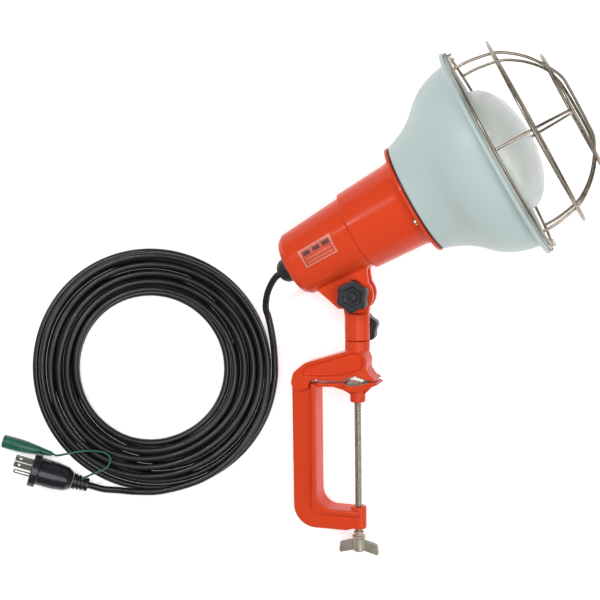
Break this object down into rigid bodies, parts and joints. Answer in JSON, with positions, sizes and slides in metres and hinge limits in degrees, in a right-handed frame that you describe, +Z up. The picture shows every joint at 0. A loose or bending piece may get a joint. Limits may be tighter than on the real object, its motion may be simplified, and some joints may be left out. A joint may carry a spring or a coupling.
{
  "type": "clamp work light",
  "caption": "Reflector-bulb work light: bell shade and hinged wire guard on a cast housing, with a tilting, swivelling screw clamp, coiled cord and plug.",
  "frame": {"origin": "bottom centre of the lamp's bounding box, the cord, coil and plug left out, on the plane the lamp lies on", "axes": "+Z up from the plane it lies on; +Y the way the clamp's post points away from its screw, so the post runs along about -Y; +X to the side the lamp's mouth looks towards"},
  "size_m": [0.6006, 0.5092, 0.2105],
  "materials": {
    "red_paint": "gloss baked enamel on a casting",
    "shade_paint": "satin pale grey-green enamel",
    "chromate": "yellow chromate over zinc plating",
    "zinc": "zinc plated steel",
    "nickel": "nickel plated",
    "brass": "plain brass",
    "frosted_glass": "frosted inside",
    "porcelain": "glazed porcelain",
    "rubber": "smooth black rubber or vinyl",
    "black_plastic": "moulded black plastic",
    "green_vinyl": "moulded green vinyl"
  },
  "bodies": {
    "lamp": {"lamp_housing": "red_paint", "reflector_shade": "shade_paint", "shade_gasket": "rubber", "shade_clamp_ring": "zinc", "shade_screw_1": "zinc", "shade_screw_2": "zinc", "shade_screw_3": "zinc", "shade_nut_1": "zinc", "shade_nut_2": "zinc", "shade_nut_3": "zinc", "bulb_glass": "frosted_glass", "bulb_cap": "brass", "lamp_holder": "porcelain", "holder_shell": "brass", "holder_contact": "brass", "holder_strap": "zinc", "holder_screw_1": "zinc", "holder_screw_2": "zinc", "cord_gland": "rubber", "gland_nut": "zinc", "inner_wire_1": "rubber", "inner_wire_2": "rubber", "guard_hinge_clip": "chromate", "guard_hinge_clip_rivet": "chromate", "guard_snap_clip": "chromate", "guard_snap_clip_rivet": "chromate", "tilt_bolt": "zinc", "friction_washer_1": "zinc", "friction_washer_2": "zinc", "cord_lead": "rubber", "cord_coil": "rubber", "cord_tail": "rubber", "plug_body": "black_plastic", "plug_relief": "rubber", "plug_blade_1": "nickel", "plug_blade_2": "nickel", "earth_lead": "green_vinyl", "earth_clip_boot": "green_vinyl", "earth_clip": "nickel"},
    "guard": {"guard_base_ring": "chromate", "guard_middle_ring": "chromate", "guard_front_ring": "chromate", "guard_bow_1": "chromate", "guard_bow_2": "chromate", "guard_bow_3": "chromate"},
    "tilt_lock": {"tilt_washer": "zinc"},
    "tilt_hand_knob": {"tilt_knob": "black_plastic"},
    "yoke": {"swivel_yoke": "red_paint"},
    "swivel_lock": {"lock_pad": "brass"},
    "swivel_hand_knob": {"swivel_knob": "black_plastic", "lock_stud": "zinc"},
    "clamp": {"clamp_frame": "red_paint"},
    "jaw": {"clamp_jaw": "red_paint", "jaw_pin": "zinc"},
    "screw": {"clamp_screw": "chromate", "wing_handle": "chromate", "wing_pin": "zinc"},
    "earth_pin": {"ground_pin": "nickel"}
  },
  "joints": [
    {"name": "guard_open", "type": "hinge", "parent": "lamp", "child": "guard", "pos_m": [0.10843, 0.06218, 0.10649], "axis": [0.2238, 0.1231, -0.9668], "range_deg": [0, 110]},
    {"name": "tilt_washer_slide", "type": "slide", "parent": "lamp", "child": "tilt_lock", "axis": [-0.2238, -0.1231, 0.9668], "range_m": [0, 0.0025]},
    {"name": "tilt_knob_turn", "type": "hinge", "parent": "tilt_lock", "child": "tilt_hand_knob", "pos_m": [-0.07581, 0.01441, 0.05775], "axis": [-0.2238, -0.1231, 0.9668], "range_deg": [0, 720]},
    {"name": "head_tilt", "type": "hinge", "parent": "lamp", "child": "yoke", "pos_m": [-0.07581, 0.01441, 0.05775], "axis": [-0.2238, -0.1231, 0.9668], "range_deg": [-3, 65]},
    {"name": "swivel_pad_slide", "type": "slide", "parent": "yoke", "child": "swivel_lock", "axis": [0.3079, 0.1214, -0.9436], "range_m": [0, 0.0025]},
    {"name": "swivel_knob_turn", "type": "hinge", "parent": "swivel_lock", "child": "swivel_hand_knob", "pos_m": [-0.06914, -0.01988, 0.03432], "axis": [0.3079, 0.1214, -0.9436], "range_deg": [0, 720]},
    {"name": "clamp_swivel", "type": "hinge", "parent": "yoke", "child": "clamp", "pos_m": [-0.07511, -0.03521, 0.05159], "axis": [0.014, -0.9923, -0.1231], "continuous": true},
    {"name": "jaw_travel", "type": "slide", "parent": "clamp", "child": "jaw", "axis": [0.014, -0.9923, -0.1231], "range_m": [0, 0.1]},
    {"name": "screw_spin", "type": "hinge", "parent": "jaw", "child": "screw", "pos_m": [-0.07329, -0.16421, 0.0356], "axis": [0.014, -0.9923, -0.1231], "range_deg": [0, 14400]},
    {"name": "ground_pin_fold", "type": "hinge", "parent": "lamp", "child": "earth_pin", "pos_m": [-0.41037, -0.17374, 0.01767], "axis": [0.0699, -0.3473, 0.9351], "range_deg": [0, 90]}
  ],
  "couplings": [
    {"joint": "screw_spin", "follows": "jaw_travel", "rad_per_m": 2513.2},
    {"joint": "tilt_knob_turn", "follows": "tilt_washer_slide", "rad_per_m": 5026.5},
    {"joint": "swivel_knob_turn", "follows": "swivel_pad_slide", "rad_per_m": 5026.5}
  ]
}
